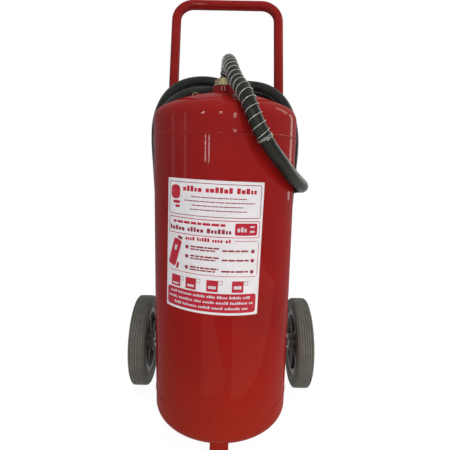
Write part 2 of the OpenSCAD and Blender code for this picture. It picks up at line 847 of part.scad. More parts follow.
module axle_brackets() {
    bracket_h = 62;
    start_y = 20;
    color("firebrick") at_tank() both_sides() difference() {
        translate([bracket_x, 0, axle_z - bracket_h / 2 + 6]) rotate([90, 0, 90]) linear_extrude(bar_t) {
            translate([start_y, 0]) square([leg_y - start_y, bracket_h]);
            translate([leg_y, bracket_h / 2 - 6]) circle(r = bracket_h / 2 - 6);
            translate([leg_y - 1, bracket_h / 2 - 6]) square([tube_r + 1, bracket_h / 2 + 6]);
        }
        tank_form();
        translate([0, 0, lower_seam_z - bead_r - side_gap])
            cylinder(r = tank_r + bead_proud + side_gap, h = 2 * (bead_r + side_gap), $fn = 120);
        translate([0, leg_y, axle_z]) rotate([0, 90, 0]) cylinder(r = axle_r, h = big);
    }
}

module axle_spacers() {
    spacer_x = leg_x + tube_r;
    color("dimgray") at_tank() translate([0, leg_y, axle_z]) both_sides()
        translate([spacer_x, 0, 0]) rotate([0, 90, 0]) difference() {
            cylinder(r = axle_r + 4, h = hub_in_x - washer_t - spacer_x);
            translate([0, 0, -1]) cylinder(r = axle_r, h = big);
        }
}

module axle_washers() {
    color("silver") at_tank() translate([0, leg_y, axle_z]) both_sides()
        for (x = [hub_in_x - washer_t, hub_out_x + side_gap])
            translate([x, 0, 0]) rotate([0, 90, 0]) difference() {
                cylinder(r = washer_r, h = washer_t - side_gap);
                translate([0, 0, -1]) cylinder(r = axle_r, h = big);
            }
}

module split_pins() {
    eye_r = 3.5;
    color("silver") at_tank() translate([0, leg_y, axle_z]) both_sides() translate([pin_x, 0, 0]) {
        translate([0, 0, -axle_r - 6]) cylinder(r = pin_r, h = 2 * axle_r + 8, $fn = 32);
        translate([0, 0, axle_r + 1 + eye_r]) rotate([0, 90, 0])
            rotate_extrude($fn = 48) translate([eye_r, 0]) circle(r = 1.2, $fn = 20);
    }
}

// --- wheels ---

// A wheel's own frame: its axis along Z, outwards up
module at_wheel(side) {
    at_tank() translate([side * wheel_x, leg_y, axle_z]) rotate([0, side * 90, 0]) children();
}

module rim_outline() {
    translate([rim_r - rim_wall, -rim_w / 2]) square([rim_wall, rim_w]);
    for (z = [-rim_w / 2, rim_w / 2 - rim_lip_w])
        translate([rim_r - 1, z]) square([rim_lip_h + 1, rim_lip_w]);
    translate([bush_r, -hub_len / 2]) square([hub_r - bush_r, hub_len]);
}

// Spokes widen from the hub to the rim and carry a raised rib
module spoke() {
    inner = hub_r - 2;
    outer = rim_r - rim_wall + 2;
    translate([0, 0, -spoke_t / 2]) linear_extrude(spoke_t)
        polygon([[inner, -spoke_root_w / 2], [outer, -spoke_tip_w / 2],
                 [outer, spoke_tip_w / 2], [inner, spoke_root_w / 2]]);
    translate([inner, -spoke_rib_w / 2, -rim_w / 2 + 2]) cube([outer - inner, spoke_rib_w, rim_w - 4]);
}

module rim(side) {
    color("dimgray") at_wheel(side) difference() {
        union() {
            rotate_extrude() rim_outline();
            intersection() {
                for (i = [0 : spoke_count - 1]) rotate([0, 0, 360 * i / spoke_count]) spoke();
                cylinder(r = rim_r - 2, h = big, center = true);
            }
        }
        cylinder(r = bush_r, h = hub_len + 2, center = true);
    }
}

module tyre(side) {
    color("gray") at_wheel(side) rotate_extrude($fn = 120) difference() {
        union() {
            translate([rim_r, -tyre_w / 2 + shoulder_r])
                square([wheel_r - rim_r, tyre_w - 2 * shoulder_r]);
            translate([rim_r, -tyre_w / 2]) square([wheel_r - rim_r - shoulder_r, tyre_w]);
            for (z = [-1, 1])
                translate([wheel_r - shoulder_r, z * (tyre_w / 2 - shoulder_r)])
                    circle(r = shoulder_r, $fn = 48);
        }
        translate([rim_r - 1, -rim_w / 2]) square([rim_lip_h + 1, rim_lip_w]);
        translate([rim_r - 1, rim_w / 2 - rim_lip_w]) square([rim_lip_h + 1, rim_lip_w]);
        translate([rim_r - eps, -tyre_w / 2 - 1]) square([rim_lip_h + eps, (tyre_w - rim_w) / 2 + 1]);
        translate([rim_r - eps, rim_w / 2]) square([rim_lip_h + eps, (tyre_w - rim_w) / 2 + 1]);
        for (i = [0 : groove_count - 1])
            translate([wheel_r - groove_depth, (i - (groove_count - 1) / 2) * groove_step - groove_w / 2])
                square([groove_depth + 1, groove_w]);
    }
}

module bush(side) {
    color("ivory") at_wheel(side) difference() {
        cylinder(r = bush_r, h = hub_len, center = true);
        cylinder(r = axle_r + running_gap, h = hub_len + 2, center = true);
    }
}

module rim_left() { rim(-1); }
module rim_right() { rim(1); }
module tyre_left() { tyre(-1); }
module tyre_right() { tyre(1); }
module bush_left() { bush(-1); }
module bush_right() { bush(1); }

// --- front foot ---

module front_foot() {
    foot_t = bar_t + 1;
    bend = 6;
    foot_top = ground_gap + head_depth(tank_r, crown_r, knuckle_r) / 2 + bend;
    blank_h = 2 * foot_top;
    color("firebrick") at_tank() difference() {
        translate([-foot_w / 2, -foot_y, 0]) rotate([90, 0, 90]) linear_extrude(foot_w) difference() {
            union() {
                translate([-foot_len / 2 + bend, 0]) square([foot_len - 2 * bend, blank_h]);
                translate([-foot_len / 2, bend]) square([foot_len, blank_h]);
                for (y = [-1, 1]) translate([y * (foot_len / 2 - bend), bend]) circle(r = bend, $fn = 48);
            }
            translate([-foot_len / 2 + foot_t, foot_t]) square([foot_len - 2 * foot_t, blank_h]);
        }
        tank_form();
        translate([-big / 2, -big / 2, foot_top]) cube([big, big, big]);
    }
}

// --- discharge gun ---

module at_gun() {
    at_tank() translate([gun_x, gun_y, 0]) children();
}

module gun_coupling() {
    color("goldenrod") at_gun() translate([0, 0, gun_body_top]) difference() {
        union() {
            hexagon(2 * gun_body_r + 2, coupling_h - 10);
            cylinder(r = hose_r + 1, h = coupling_h);
        }
        translate([0, 0, -1]) cylinder(r = 8, h = coupling_h + 2);
    }
}

module gun_body() {
    color("dimgray") at_gun() difference() {
        union() {
            translate([0, 0, gun_body_base]) rotate_extrude() {
                square([gun_body_r, gun_body_len]);
                translate([0, gun_body_len - 34]) square([gun_body_r + 3, 24]);
            }
            for (x = [-1, 1]) translate([x * (trigger_w / 2 + 0.3 + lug_t / 2), 0, trigger_z])
                rotate([90, 0, 90]) linear_extrude(lug_t, center = true) {
                    translate([0, -8]) square([trigger_y, 16]);
                    translate([trigger_y, 0]) circle(r = 8, $fn = 48);
                }
        }
        translate([0, 0, gun_body_base - 1]) cylinder(r = 8, h = gun_body_len + 2);
        translate([0, trigger_y, trigger_z]) rotate([0, 90, 0])
            cylinder(r = trigger_pin_r, h = 60, center = true, $fn = 48);
        translate([-trigger_w / 2 - 0.3, gun_body_r, trigger_z - 20]) cube([trigger_w + 0.6, 40, 40]);
    }
}

module trigger_pin() {
    pin_half = trigger_w / 2 + 0.3 + lug_t + 1;
    color("silver") at_gun() translate([0, trigger_y, trigger_z]) rotate([0, 90, 0])
        cylinder(r = trigger_pin_r, h = 2 * pin_half, center = true, $fn = 48);
}

module gun_trigger() {
    color("black") at_gun() translate([0, trigger_y, trigger_z]) difference() {
        rotate([-trigger_splay, 0, 0]) rotate([90, 0, 90]) linear_extrude(trigger_w, center = true) {
            circle(r = 7.5, $fn = 48);
            translate([-4, 0]) square([8, trigger_len - 4]);
            translate([0, trigger_len - 4]) circle(r = 4, $fn = 48);
        }
        rotate([0, 90, 0]) cylinder(r = trigger_pin_r + running_gap, h = 60, center = true, $fn = 48);
    }
}

module gun_barrel() {
    color("silver") at_gun() translate([0, 0, barrel_base]) difference() {
        cylinder(r = barrel_r, h = barrel_len);
        translate([0, 0, -1]) cylinder(r = barrel_r - 3, h = barrel_len + 2);
    }
}

module gun_horn() {
    color("black") at_gun() translate([0, 0, horn_base]) rotate_extrude() difference() {
        union() {
            polygon([[0, 0], [horn_r, 0], [barrel_r + 2, horn_len - 24], [barrel_r + 2, horn_len], [0, horn_len]]);
            translate([horn_r - 2, 2]) circle(r = 2.5, $fn = 32);
        }
        polygon([[-eps, -1], [horn_r - 4, -1], [barrel_r - 3, horn_len - 24], [barrel_r - 3, horn_len + 1], [-eps, horn_len + 1]]);
    }
}

module gun_clip() {
    arm = [leg_x - gun_x, leg_y - gun_y];
    arm_angle = atan2(arm[1], arm[0]);
    color("silver") at_tank() difference() {
        translate([gun_x, gun_y, clip_z - clip_h / 2]) {
            cylinder(r = barrel_r + clip_t, h = clip_h);
            rotate([0, 0, arm_angle]) translate([barrel_r, -clip_t / 2, 0])
                cube([norm(arm) - barrel_r, clip_t, clip_h]);
        }
        translate([gun_x, gun_y, 0]) cylinder(r = barrel_r, h = big);
        translate([leg_x, leg_y, 0]) cylinder(r = tube_r, h = big);
        translate([gun_x, gun_y, 0]) rotate([0, 0, arm_angle + 180])
            translate([0, -barrel_r * 0.8, 0]) cube([50, barrel_r * 1.6, big]);
    }
}

// --- hose ---

module hose() {
    color("black") at_tank() swept(hose_route, hose_r);
}

module spring_guard() {
    color("silver") at_tank() sleeve([for (i = [0 : guard_points - 1]) hose_route[i]], hose_r, hose_r + guard_t);
}

tank_shell();
top_head();
bottom_head();
filler_neck();
filler_cap();
cap_gasket();
outlet_boss();
outlet_elbow();
hose_nut();
hose_ferrule();
dip_tube();
relief_valve();
relief_stem();
relief_spring();
gas_inlet();
gas_tube();
gas_pipe();
pipe_nuts();
gas_bottle();
bottle_valve();
valve_spindle();
handwheel();
bottle_bands();
bottle_backplate();
upper_crossbar();
lower_crossbar();
handle_frame();
hose_hanger();
axle();
axle_brackets();
axle_spacers();
axle_washers();
split_pins();
rim_left();
rim_right();
tyre_left();
tyre_right();
bush_left();
bush_right();
front_foot();
gun_coupling();
gun_body();
gun_barrel();
gun_horn();
gun_trigger();
trigger_pin();
gun_clip();
hose();
spring_guard();
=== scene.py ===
# %% [markdown]
# # A wheeled fire extinguisher
# The machine is a big red powder tank on two wheels. A bent tube handle stands
# behind it, a long hose with a wire guard is wound round its rear, and a small
# gas bottle hangs between the handle's legs. The solids are already built to
# size, so this lesson loads them as a fixed frame and dresses them.

# %% Load the frame
import json
import math
import random

import bmesh
import bpy
from mathutils import Matrix, Vector


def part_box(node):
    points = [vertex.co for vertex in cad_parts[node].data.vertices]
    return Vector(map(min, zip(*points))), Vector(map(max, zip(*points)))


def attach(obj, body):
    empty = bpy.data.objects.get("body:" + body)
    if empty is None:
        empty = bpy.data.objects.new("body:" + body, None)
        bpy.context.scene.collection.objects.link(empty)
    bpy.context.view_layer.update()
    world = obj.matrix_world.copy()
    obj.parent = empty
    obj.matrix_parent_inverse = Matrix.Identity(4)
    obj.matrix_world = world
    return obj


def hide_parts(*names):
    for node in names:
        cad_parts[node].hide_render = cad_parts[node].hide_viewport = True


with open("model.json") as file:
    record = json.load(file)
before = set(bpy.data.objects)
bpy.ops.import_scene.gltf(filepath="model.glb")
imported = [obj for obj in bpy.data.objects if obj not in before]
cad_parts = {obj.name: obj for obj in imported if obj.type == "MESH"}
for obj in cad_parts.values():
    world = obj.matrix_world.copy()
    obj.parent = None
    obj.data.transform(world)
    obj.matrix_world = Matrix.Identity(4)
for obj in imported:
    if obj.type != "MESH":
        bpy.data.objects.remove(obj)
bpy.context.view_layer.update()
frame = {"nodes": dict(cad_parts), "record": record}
nodes = frame["nodes"]
print("solids loaded:", len(nodes))

# %% [markdown]
# ## Where things stand
# Every piece is placed from the solids' own boxes. The tank's axis runs through
# the middle of the filler cap, and the wheels' axle through the middle of the
# axle.

# %% Find the tank's axis and the axle
cap_low, cap_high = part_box("filler_cap")
TANK_Y = (cap_low.y + cap_high.y) / 2
axle_low, axle_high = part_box("axle")
AXLE_Y = (axle_low.y + axle_high.y) / 2
AXLE_Z = (axle_low.z + axle_high.z) / 2
TANK_R = 0.160
to_tank = Matrix.Translation((0, TANK_Y, 0))
print("tank axis y", round(TANK_Y, 4), "axle", round(AXLE_Y, 4), round(AXLE_Z, 4))

# %% [markdown]
# ## The camera
# The camera stands a little under a metre in front of the tank at the height of
# its upper half, and looks slightly down. A short lens close to the tank makes
# the dome swell and the wheels shrink.

# %% Set the camera
LENS_MM, SENSOR_MM = 30.8, 36
LOOK_DOWN, LEAN_OVER = 9.09, 1.1
CAMERA_X, CAMERA_BACK, CAMERA_Z = 0.004, 0.902, 0.6585
camera_data = bpy.data.cameras.new("camera")
camera_data.lens = LENS_MM
camera_data.sensor_width = SENSOR_MM
camera = bpy.data.objects.new("camera", camera_data)
bpy.context.scene.collection.objects.link(camera)
tilt = Matrix.Rotation(math.radians(90 - LOOK_DOWN), 4, "X")
roll = Matrix.Rotation(math.radians(LEAN_OVER), 4, "Z")
camera.matrix_world = Matrix.Translation((CAMERA_X, TANK_Y - CAMERA_BACK, CAMERA_Z)) @ tilt @ roll
bpy.context.scene.camera = camera
bpy.context.scene.view_settings.view_transform = "Standard"
print("camera at", [round(v, 3) for v in camera.location])

# %% [markdown]
# ## Helpers for round things
# Most of the machine is either turned on a lathe or drawn along a line. The
# lathe helper spins an outline about its axis. The sweep helper extrudes one
# ring of points from station to station along a path, and writes down on each
# point where it is along and round the tube, so that a finish can follow it.

# %% Lathe helper
def lathe(bm, outline, place, steps=128):
    """Spin (radius, height) pairs about Z, merge the seam and put the shape in place."""
    before = set(bm.verts)
    line = [bm.verts.new((r, 0, z)) for r, z in outline]
    edges = [bm.edges.new(pair) for pair in zip(line, line[1:])]
    bmesh.ops.spin(bm, geom=line + edges, cent=(0, 0, 0), axis=(0, 0, 1),
                   angle=2 * math.pi, steps=steps, use_merge=True)
    made = [v for v in bm.verts if v not in before]
    bmesh.ops.remove_doubles(bm, verts=made, dist=1e-6)
    made = [v for v in bm.verts if v not in before]
    faces = list({f for v in made for f in v.link_faces})
    bmesh.ops.recalc_face_normals(bm, faces=faces)
    bmesh.ops.transform(bm, matrix=place, verts=made)
    return made


def arc(centre, radius, start, end, count):
    """Points of a circular arc in the outline's plane, angles in degrees."""
    turns = [math.radians(start + (end - start) * i / count) for i in range(count + 1)]
    return [(centre[0] + radius * math.cos(a), centre[1] + radius * math.sin(a)) for a in turns]


# %% Path helpers
def smooth_line(points, step, between=16):
    """A smooth line through the points, resampled at an even step."""
    pts = [Vector(p) for p in points]
    pts = [2 * pts[0] - pts[1]] + pts + [2 * pts[-1] - pts[-2]]
    dense = []
    for a, b, c, d in zip(pts, pts[1:], pts[2:], pts[3:]):
        for k in range(between):
            t = k / between
            dense.append(0.5 * (2 * b + (c - a) * t + (2 * a - 5 * b + 4 * c - d) * t * t
                                + (3 * b - a - 3 * c + d) * t ** 3))
    dense.append(pts[-2])
    return resample(dense, step)


def resample(dense, step):
    """Points at an even distance along a line."""
    lengths = [0.0]
    for a, b in zip(dense, dense[1:]):
        lengths.append(lengths[-1] + (b - a).length)
    count = max(2, round(lengths[-1] / step))
    line, j = [], 0
    for i in range(count + 1):
        want = lengths[-1] * i / count
        while j < len(dense) - 2 and lengths[j + 1] < want:
            j += 1
        span = lengths[j + 1] - lengths[j]
        line.append(dense[j].lerp(dense[j + 1], (want - lengths[j]) / span if span else 0))
    return line


def eased(line, rounds, pull=0.5, push=-0.52):
    """The line with its bends evened out: each round pulls the points in, then out again."""
    for share in (pull, push) * rounds:
        inner = [b + share * ((a + c) / 2 - b) for a, b, c in zip(line[1:], line[2:], line[3:])]
        line = line[:2] + inner + line[-1:]
    return line


def stations(line):
    """(matrix, distance) at each point: Z runs along the line and X never twists."""
    result, side, distance = [], None, 0.0
    for i, point in enumerate(line):
        along = (line[min(i + 1, len(line) - 1)] - line[max(i - 1, 0)]).normalized()
        side = along.orthogonal() if side is None else side - along * side.dot(along)
        side.normalize()
        turn = Matrix((side, along.cross(side), along)).transposed().to_4x4()
        if i:
            distance += (point - line[i - 1]).length
        result.append((Matrix.Translation(point) @ turn, distance))
    return result


def sweep(bm, line, radius, sides=20):
    """A closed round tube along the line; 'wrap' holds (x, y, distance) for its finish."""
    wrap = bm.verts.layers.float_vector.get("wrap") or bm.verts.layers.float_vector.new("wrap")
    here = stations(line)
    rings = bmesh.ops.create_circle(bm, cap_ends=True, segments=sides, radius=radius,
                                    matrix=here[0][0])["verts"]
    cap = rings[0].link_faces[0]
    cap.normal_flip()
    edges = list(cap.edges)
    for v in rings:
        local = here[0][0].inverted() @ v.co
        v[wrap] = (local.x, local.y, 0)
    for (old, _), (new, distance) in zip(here, here[1:]):
        grown = bmesh.ops.extrude_edge_only(bm, edges=edges)["geom"]
        rings = [g for g in grown if isinstance(g, bmesh.types.BMVert)]
        edges = [g for g in grown if isinstance(g, bmesh.types.BMEdge)]
        bmesh.ops.transform(bm, matrix=new @ old.inverted(), verts=rings)
        for v in rings:
            local = new.inverted() @ v.co
            v[wrap] = (local.x, local.y, distance)
    bmesh.ops.contextual_create(bm, geom=edges)
    bmesh.ops.recalc_face_normals(bm, faces=bm.faces)


# %% Turn a bmesh into a piece
def piece(name, bm, materials, body="machine", stands_for=(), sharp=35):
    """Finish a bmesh as a smooth object that rides on a body of the frame."""
    mesh = bpy.data.meshes.new(name)
    bm.to_mesh(mesh)
    bm.free()
    mesh.shade_smooth()
    mesh.set_sharp_from_angle(angle=math.radians(sharp))
    obj = bpy.data.objects.new(name, mesh)
    bpy.context.scene.collection.objects.link(obj)
    for material in materials:
        mesh.materials.append(material)
    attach(obj, body)
    if stands_for:
        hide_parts(*stands_for)
    print(name, len(mesh.polygons), "faces")
    return obj


# %% [markdown]
# ## Helpers for finishes
# A finish here is a Principled shader whose colour, roughness and bump come from
# noise read in the object's own coordinates. The helper class keeps a finish
# down to a few lines.

# %% Finish helper
class Finish:
    """A small builder for a procedural material."""

    def __init__(self, name, metallic=0.0, coat=0.0, coat_roughness=0.05, specular=0.5):
        self.material = bpy.data.materials.new(name)
        self.material.use_nodes = True
        self.tree = self.material.node_tree
        self.shader = self.tree.nodes["Principled BSDF"]
        self.shader.inputs["Metallic"].default_value = metallic
        self.shader.inputs["Coat Weight"].default_value = coat
        self.shader.inputs["Coat Roughness"].default_value = coat_roughness
        self.shader.inputs["Specular IOR Level"].default_value = specular
        self.place = self.node("ShaderNodeTexCoord").outputs["Object"]

    def node(self, kind, **settings):
        made = self.tree.nodes.new(kind)
        for key, value in settings.items():
            setattr(made, key, value)
        return made

    def join(self, value, socket):
        if isinstance(value, bpy.types.NodeSocket):
            self.tree.links.new(value, socket)
        else:
            socket.default_value = value

    def attribute(self, name):
        return self.node("ShaderNodeAttribute", attribute_name=name).outputs["Vector"]

    def stretched(self, scale, place=None):
        mapping = self.node("ShaderNodeMapping")
        self.join(place or self.place, mapping.inputs["Vector"])
        mapping.inputs["Scale"].default_value = scale
        return mapping.outputs["Vector"]

    def noise(self, scale, detail=3.0, roughness=0.55, place=None):
        made = self.node("ShaderNodeTexNoise")
        self.join(place or self.place, made.inputs["Vector"])
        made.inputs["Scale"].default_value = scale
        made.inputs["Detail"].default_value = detail
        made.inputs["Roughness"].default_value = roughness
        return made.outputs["Fac"]

    def math(self, operation, a, b=0.0, clamp=False):
        made = self.node("ShaderNodeMath", operation=operation, use_clamp=clamp)
        self.join(a, made.inputs[0])
        self.join(b, made.inputs[1])
        return made.outputs[0]

    def span(self, value, low, high, to_low=0.0, to_high=1.0):
        made = self.node("ShaderNodeMapRange")
        self.join(value, made.inputs["Value"])
        limits = {"From Min": low, "From Max": high, "To Min": to_low, "To Max": to_high}
        for key, number in limits.items():
            made.inputs[key].default_value = number
        return made.outputs["Result"]

    def mix(self, share, a, b):
        made = self.node("ShaderNodeMix", data_type="RGBA")
        self.join(share, made.inputs["Factor"])
        self.join(a if isinstance(a, bpy.types.NodeSocket) else (*a, 1), made.inputs["A"])
        self.join(b if isinstance(b, bpy.types.NodeSocket) else (*b, 1), made.inputs["B"])
        return made.outputs["Result"]

    def bump(self, height, strength, distance, below=None):
        made = self.node("ShaderNodeBump")
        made.inputs["Strength"].default_value = strength
        made.inputs["Distance"].default_value = distance
        self.join(height, made.inputs["Height"])
        if below is not None:
            self.join(below, made.inputs["Normal"])
        return made.outputs["Normal"]

    def done(self, colour, roughness, normal=None):
        self.join(colour if isinstance(colour, bpy.types.NodeSocket) else (*colour, 1),
                  self.shader.inputs["Base Color"])
        self.join(roughness, self.shader.inputs["Roughness"])
        if normal is not None:
            self.join(normal, self.shader.inputs["Normal"])
        print("finish", self.material.name)
        return self.material


# %% [markdown]
# ## The hose's route
# The hose leaves the elbow behind the neck, arches over the cap, comes down the
# front right, goes round the right side and is wound round the rear. Its far end
# goes into the discharge gun. The route repeats the points that the solids use,
# counted from the tank's axis in millimetres. The stowed turns are laps with
# round corners, bent round the tank. Halfway through the first lap the hose
# moves out by a little more than its own thickness, so that what follows lies
# outside, and its end is tucked in to meet the gun.

# %% Lay out the two ends of the hose
over_and_down = [
    (0, 75.5, 842.7), (0, 57, 857), (3, 32, 870), (5, 0, 877), (6, -36, 873), (9, -72, 857),
    (15, -104, 834), (24, -131, 811), (34, -153, 794), (42.5, -168.5, 774), (51.5, -177, 751),
    (62, -179, 728), (76.5, -176, 703), (93, -166.5, 681.5), (110.5, -152, 662.5),
    (128, -132, 644.5), (146, -105, 629), (167, -65, 615), (178, -15, 609), (177, 24, 606),
    (168, 62, 601), (146, 102, 591), (119, 132, 564), (98, 149, 524), (90, 153.5, 476),
    (89, 153, 432), (89, 153, 390), (81.5, 157, 344), (57.5, 167.5, 305), (19.5, 176, 279),
]
to_gun = [
    (156.5, 136, 678), (149.5, 144.5, 652), (137, 159, 630), (120.5, 177.5, 611.5),
    (109.5, 200, 594), (102.5, 220.5, 573.5), (99, 235.5, 548.5), (98, 243.5, 523.5),
    (98, 246, 500),
]

# %% Lay out the turns
# One lap, from the bottom up the left and down the right, each point as its
# corner's side (-1 left), its corner's height (0 low, 1 high) and its angle
lap = ([(0, 0, 270)] + [(-1, 0, a) for a in (270, 247.5, 225, 202.5, 180)]
       + [(-1, h, 180) for h in (0.33, 0.67)]
       + [(-1, 1, a) for a in (180, 157.5, 135, 112.5, 90)] + [(0, 1, 90)]
       + [(1, 1, a) for a in (90, 67.5, 45, 22.5, 0)] + [(1, h, 0) for h in (0.67, 0.33)]
       + [(1, 0, a) for a in (0, -22.5, -45, -67.5, -90)])
LAPS = 1.7
LAP_HALF, LAP_FLARE = 190, 19  # half the width at the bottom, and what the top adds to it
LAP_BEND, LAP_LOW = 155, 425  # radius of the corners, and height of the lower ones' centres
FIRST_TOP, FIRST_RISE = 845, 17  # the first lap's top at the left, and its rise to the right
SECOND_TOP, SECOND_DROP = 878, 16  # the second lap's, which drops to the right
TUCK_FROM, TUCK_IN = 1.5, 29  # laps after which the width shrinks, and by how much
WOUND_R, LAYER = 177, 29.8  # distance from the tank's axis, and from the first lap to the second
CROSS_AT, CROSS_OVER = 14, 4  # the point where the hose moves out, and the points that this takes
HOSE_R, HOSE_STEP, EASE_ROUNDS = 0.014, 0.009, 12


def turn_point(i):
    """Point i of the turns: up the left and over, then round again outside the first lap."""
    side, height, angle = lap[i % len(lap)]
    again, across = i > len(lap), (side + 1) / 2
    top = SECOND_TOP - SECOND_DROP * across if again else FIRST_TOP + FIRST_RISE * across
    tuck = TUCK_IN if i > TUCK_FROM * len(lap) else 0
    flat = LAP_HALF + LAP_FLARE * height - LAP_BEND - tuck
    along = side * flat + LAP_BEND * math.cos(math.radians(angle))
    up = LAP_LOW + (top - LAP_BEND - LAP_LOW) * height + LAP_BEND * math.sin(math.radians(angle))
    radius = WOUND_R + LAYER * min(1, max(0, (i - CROSS_AT) / CROSS_OVER))
    return radius * math.sin(along / radius), radius * math.cos(along / radius), up


turns = [turn_point(i) for i in range(1, int(LAPS * len(lap)) + 1)]
route = [Vector((x / 1000, y / 1000 + TANK_Y, z / 1000)) for x, y, z in over_and_down + turns + to_gun]
hose_line = eased(smooth_line(route, HOSE_STEP), EASE_ROUNDS)
hose_length = sum((b - a).length for a, b in zip(hose_line, hose_line[1:]))
print("hose points", len(hose_line), "length", round(hose_length, 3))

# %% [markdown]
# ## The hose
# A black rubber hose is cured in a wrapped cloth, which leaves a fine slanting
# weave in its skin. The weave is a bump that follows the tube through the 'wrap'
# values, and dust settles on it in patches.

# %% Black hose rubber
rubber = Finish("hose_rubber", specular=0.15)
wrap = rubber.attribute("wrap")
weave = rubber.node("ShaderNodeTexWave", wave_type="BANDS", bands_direction="Z")
rubber.join(wrap, weave.inputs["Vector"])
weave.inputs["Scale"].default_value = 95
weave.inputs["Distortion"].default_value = 0.6
weave.inputs["Detail"].default_value = 1
skin = rubber.noise(420, 4, 0.6, wrap)
dust = rubber.span(rubber.noise(16, 4, 0.6), 0.42, 0.7)
dusty = rubber.math("MULTIPLY", dust, 0.45)
hose_colour = rubber.mix(dusty, (0.007, 0.0075, 0.006), (0.032, 0.034, 0.028))
hose_rough = rubber.span(dust, 0, 1, 0.36, 0.62)
hose_normal = rubber.bump(skin, 0.25, 0.0004, rubber.bump(weave.outputs["Fac"], 0.35, 0.0004))
HOSE_RUBBER = rubber.done(hose_colour, hose_rough, hose_normal)

# %% Sweep the hose
bm = bmesh.new()
sweep(bm, hose_line, HOSE_R, 24)
hose = piece("hose_line", bm, [HOSE_RUBBER], stands_for=["hose"])

# %% [markdown]
# ## The wire guard
# A bare steel wire is wound round the first stretch of the hose, so that it
# can't kink where it bends over the neck. The winding is open, and its last
# turns lie side by side. The wire is itself a swept tube along a helix.

# %% Dull steel wire
wire = Finish("guard_wire", metallic=0.9, specular=0.5)
tarnish = wire.noise(90, 4, 0.6)
WIRE = wire.done(wire.mix(tarnish, (0.22, 0.23, 0.21), (0.42, 0.43, 0.41)),
                 wire.span(tarnish, 0.3, 0.7, 0.32, 0.5), wire.bump(wire.noise(900), 0.2, 0.0002))

# %% Wind the guard
GUARD_POINTS = 12  # the guard ends at this point of the route
WIRE_R, HELIX_R = 0.0008, 0.0151
OPEN_PITCH, CLOSE_PITCH = 0.0162, 0.0026
GUARD_START, FIRST_CLOSE, LAST_CLOSE = 0.0015, 0.006, 0.0075  # lengths wound close at the ends
TURN_STEPS = 28
guard_end = 0.0
for a, b in zip(route[:GUARD_POINTS], route[1:GUARD_POINTS + 1]):
    guard_end += (b - a).length
hose_here = stations(hose_line)


def on_hose(distance):
    """Matrix at a distance along the hose."""
    i = min(int(distance / (hose_length / (len(hose_line) - 1))), len(hose_line) - 2)
    (m0, d0), (m1, d1) = hose_here[i], hose_here[i + 1]
    return m0.lerp(m1, min(1, (distance - d0) / (d1 - d0)))


helix, distance, turn = [], GUARD_START, 0.0
while distance < guard_end:
    close = distance < FIRST_CLOSE or distance > guard_end - LAST_CLOSE
    helix.append(on_hose(distance) @ Vector((HELIX_R * math.cos(turn), HELIX_R * math.sin(turn), 0)))
    distance += (CLOSE_PITCH if close else OPEN_PITCH) / TURN_STEPS
    turn += 2 * math.pi / TURN_STEPS
bm = bmesh.new()
sweep(bm, helix, WIRE_R, 6)
piece("guard_wire", bm, [WIRE], stands_for=["spring_guard"], sharp=80)
print("guard length", round(guard_end, 3), "turns", round(turn / 2 / math.pi, 1))

# %% [markdown]
# ## Red paint
# The tank is sprayed with thick gloss enamel: a deep red under a clear skin that
# mirrors the lights. Real enamel is never quite even, so the red drifts a little
# in tone, the skin has a faint orange peel, and dust and small scuffs dull it.
# The same helper makes the frame's paint, which is rubbed more.

# %% Paint recipe
def enamel(name, red, deep, wear, peel=0.03):
    """Gloss enamel: the finish, its colour, its roughness and its bump."""
    f = Finish(name, coat=0.14, coat_roughness=0.04, specular=0.0)
    drift = f.noise(5, 3, 0.5)
    base = f.mix(f.span(drift, 0.35, 0.65), deep, red)
    scuff = f.noise(1, 6, 0.7, f.stretched((60, 60, 22)))
    scuffs = f.math("MULTIPLY", f.span(scuff, 0.66, 0.74), wear, clamp=True)
    dust = f.span(f.noise(26, 5, 0.7), 0.5, 0.8, 0, 0.02)
    base = f.mix(dust, base, (0.34, 0.20, 0.17))
    base = f.mix(scuffs, base, (0.11, 0.02, 0.018))
    haze = f.span(f.noise(40, 4), 0.3, 0.7, 0.22, 0.32)
    rough = f.math("ADD", haze, f.math("MULTIPLY", scuffs, 0.4))
    slow = f.bump(f.noise(7, 2, 0.5), 0.10, 0.006)
    normal = f.bump(f.noise(300, 1, 0.5), peel, 0.0004, slow)
    return f, base, rough, normal


# %% Tank paint with rippled weld beads, painted shade at the top and painted warm light at the bottom
SEAMS = (0.115, 0.715)
SEAM_HALF, RIPPLES = 0.0042, 230.0
f, base, rough, normal = enamel("tank_paint", (0.285, 0.0034, 0.0016), (0.225, 0.0022, 0.0016), 0.15)
split = f.node("ShaderNodeSeparateXYZ")
f.join(f.place, split.inputs[0])
height = split.outputs["Z"]
# Painted shade: towards the top the tank's red is dulled a little towards grey.
base = f.mix(f.span(height, 0.25, 0.72, 0, 0.09), base, (0.07, 0.075, 0.08))
# Painted warm light: towards the bottom the red is mixed with a brighter, warmer orange red.
base = f.mix(f.span(height, 0.08, 0.36, 0.6, 0), base, (0.33, 0.024, 0.0085))
around = f.math("ARCTAN2", split.outputs["X"], f.math("SUBTRACT", split.outputs["Y"], TANK_Y))
ripple = f.math("SINE", f.math("MULTIPLY", around, RIPPLES))
seams = [f.math("LESS_THAN", f.math("ABSOLUTE", f.math("SUBTRACT", height, z)), SEAM_HALF)
         for z in SEAMS]
ripple = f.math("MULTIPLY", ripple, f.math("ADD", *seams))
normal = f.bump(ripple, 0.5, 0.0006, normal)
TANK_PAINT = f.done(base, rough, normal)

# %% Frame paint
f, base, rough, normal = enamel("frame_paint", (0.24, 0.010, 0.009), (0.17, 0.008, 0.007), 0.6)
FRAME_PAINT = f.done(base, rough, normal)

# %% [markdown]
# ## The tank
# Two pressed heads are welded to a rolled shell. Each head is a wide shallow
# crown that turns into the side through a tight knuckle. The whole tank is one
# turned outline here, with both weld beads, so that its gloss runs on smoothly.

